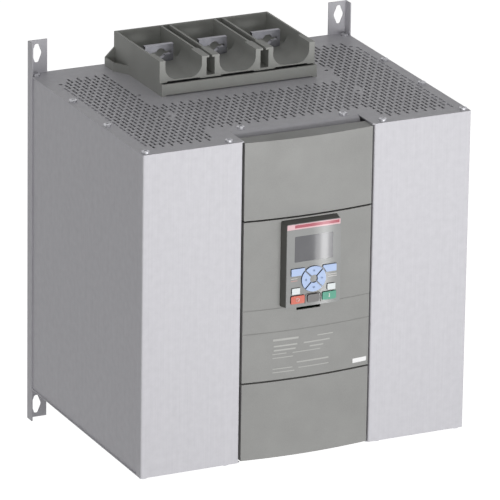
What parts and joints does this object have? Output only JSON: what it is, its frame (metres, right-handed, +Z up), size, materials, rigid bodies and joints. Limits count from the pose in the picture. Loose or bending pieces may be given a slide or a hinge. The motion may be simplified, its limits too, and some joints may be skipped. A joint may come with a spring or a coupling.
{
  "type": "soft starter",
  "caption": "Wall-mounted motor soft starter: folded steel case with slotted vents, bowed plastic covers, a keypad with display, and open terminal bays above and below.",
  "frame": {"origin": "on the wall plane, midway between the four keyholes of the ears", "axes": "+Z up, +X to the right seen from the front, the front faces -Y"},
  "size_m": [0.435, 0.3611, 0.495],
  "materials": {
    "case_steel": "satin grey",
    "panel_steel": "satin light grey",
    "zinc_steel": "bright zinc",
    "plain_steel": "galvanised",
    "cover_plastic": "fine texture",
    "shroud_plastic": "fine texture",
    "tinned_copper": "tin plate",
    "dark_plastic": "moulded",
    "sink_aluminium": "extruded",
    "board_laminate": "solder mask",
    "terminal_plastic": "moulded",
    "housing_plastic": "fine texture",
    "face_plastic": "printed film",
    "display_dark": "liquid crystal",
    "window_glass": "clear",
    "key_blue": "moulded",
    "key_white": "moulded",
    "key_red": "moulded",
    "key_green": "moulded",
    "key_grey": "moulded"
  },
  "bodies": {
    "case": {"back_tray": "case_steel", "side_wall_left": "case_steel", "side_wall_right": "case_steel", "top_sheet": "case_steel", "bottom_sheet": "case_steel", "front_panel_left": "panel_steel", "front_panel_right": "panel_steel", "case_screws": "zinc_steel", "bus_bolts": "zinc_steel", "stiffener_top": "plain_steel", "stiffener_bottom": "plain_steel", "cover_frame": "plain_steel", "support_rail_upper": "plain_steel", "support_rail_lower": "plain_steel", "cover_middle": "cover_plastic", "shroud_line": "shroud_plastic", "shroud_load": "shroud_plastic", "line_bar_1": "tinned_copper", "line_bar_2": "tinned_copper", "line_bar_3": "tinned_copper", "load_bar_1": "tinned_copper", "load_bar_2": "tinned_copper", "load_bar_3": "tinned_copper", "bypass_1": "dark_plastic", "bypass_2": "dark_plastic", "bypass_3": "dark_plastic", "thyristor_1": "dark_plastic", "thyristor_2": "dark_plastic", "thyristor_3": "dark_plastic", "transformer_1": "dark_plastic", "transformer_2": "dark_plastic", "transformer_3": "dark_plastic", "fan_frame_left": "dark_plastic", "fan_frame_right": "dark_plastic", "heat_sink_1": "sink_aluminium", "heat_sink_2": "sink_aluminium", "heat_sink_3": "sink_aluminium", "control_board": "board_laminate", "terminal_block": "terminal_plastic"},
    "keypad": {"keypad_housing": "housing_plastic", "keypad_face": "face_plastic", "keypad_board": "board_laminate", "display": "display_dark", "window": "window_glass"},
    "upper_cover": {"cover_upper": "cover_plastic"},
    "lower_cover": {"cover_lower": "cover_plastic"},
    "left_fan": {"fan_rotor_left": "dark_plastic"},
    "right_fan": {"fan_rotor_right": "dark_plastic"},
    "soft_key_left_cap": {"soft_key_left": "key_blue"},
    "soft_key_right_cap": {"soft_key_right": "key_blue"},
    "key_up_arrow_cap": {"key_up_arrow": "key_blue"},
    "key_right_arrow_cap": {"key_right_arrow": "key_blue"},
    "key_down_arrow_cap": {"key_down_arrow": "key_blue"},
    "key_left_arrow_cap": {"key_left_arrow": "key_blue"},
    "info_key_cap": {"info_key": "key_white"},
    "remote_key_cap": {"remote_key": "key_white"},
    "stop_key_cap": {"stop_key": "key_red"},
    "start_key_cap": {"start_key": "key_green"},
    "menu_key_cap": {"menu_key": "key_grey"}
  },
  "joints": [
    {"name": "keypad_pull", "type": "slide", "parent": "case", "child": "keypad", "axis": [0, -1, 0], "range_m": [0, 0.03]},
    {"name": "upper_cover_pull", "type": "slide", "parent": "case", "child": "upper_cover", "axis": [0, -1, 0], "range_m": [0, 0.04]},
    {"name": "lower_cover_pull", "type": "slide", "parent": "case", "child": "lower_cover", "axis": [0, -1, 0], "range_m": [0, 0.04]},
    {"name": "left_fan_spin", "type": "hinge", "parent": "case", "child": "left_fan", "pos_m": [-0.055, -0.168, -0.13], "axis": [0, 0, 1], "continuous": true},
    {"name": "right_fan_spin", "type": "hinge", "parent": "case", "child": "right_fan", "pos_m": [0.055, -0.168, -0.13], "axis": [0, 0, 1], "continuous": true},
    {"name": "soft_key_left_press", "type": "slide", "parent": "keypad", "child": "soft_key_left_cap", "axis": [0, 1, 0], "range_m": [0, 0.0008], "stiffness_N_per_m": 1500},
    {"name": "soft_key_right_press", "type": "slide", "parent": "keypad", "child": "soft_key_right_cap", "axis": [0, 1, 0], "range_m": [0, 0.0008], "stiffness_N_per_m": 1500},
    {"name": "key_up_arrow_press", "type": "slide", "parent": "keypad", "child": "key_up_arrow_cap", "axis": [0, 1, 0], "range_m": [0, 0.0008], "stiffness_N_per_m": 1500},
    {"name": "key_right_arrow_press", "type": "slide", "parent": "keypad", "child": "key_right_arrow_cap", "axis": [0, 1, 0], "range_m": [0, 0.0008], "stiffness_N_per_m": 1500},
    {"name": "key_down_arrow_press", "type": "slide", "parent": "keypad", "child": "key_down_arrow_cap", "axis": [0, 1, 0], "range_m": [0, 0.0008], "stiffness_N_per_m": 1500},
    {"name": "key_left_arrow_press", "type": "slide", "parent": "keypad", "child": "key_left_arrow_cap", "axis": [0, 1, 0], "range_m": [0, 0.0008], "stiffness_N_per_m": 1500},
    {"name": "info_key_press", "type": "slide", "parent": "keypad", "child": "info_key_cap", "axis": [0, 1, 0], "range_m": [0, 0.0008], "stiffness_N_per_m": 1500},
    {"name": "remote_key_press", "type": "slide", "parent": "keypad", "child": "remote_key_cap", "axis": [0, 1, 0], "range_m": [0, 0.0008], "stiffness_N_per_m": 1500},
    {"name": "stop_key_press", "type": "slide", "parent": "keypad", "child": "stop_key_cap", "axis": [0, 1, 0], "range_m": [0, 0.0008], "stiffness_N_per_m": 1500},
    {"name": "start_key_press", "type": "slide", "parent": "keypad", "child": "start_key_cap", "axis": [0, 1, 0], "range_m": [0, 0.0008], "stiffness_N_per_m": 1500},
    {"name": "menu_key_press", "type": "slide", "parent": "keypad", "child": "menu_key_cap", "axis": [0, 1, 0], "range_m": [0, 0.0008], "stiffness_N_per_m": 1500}
  ]
}
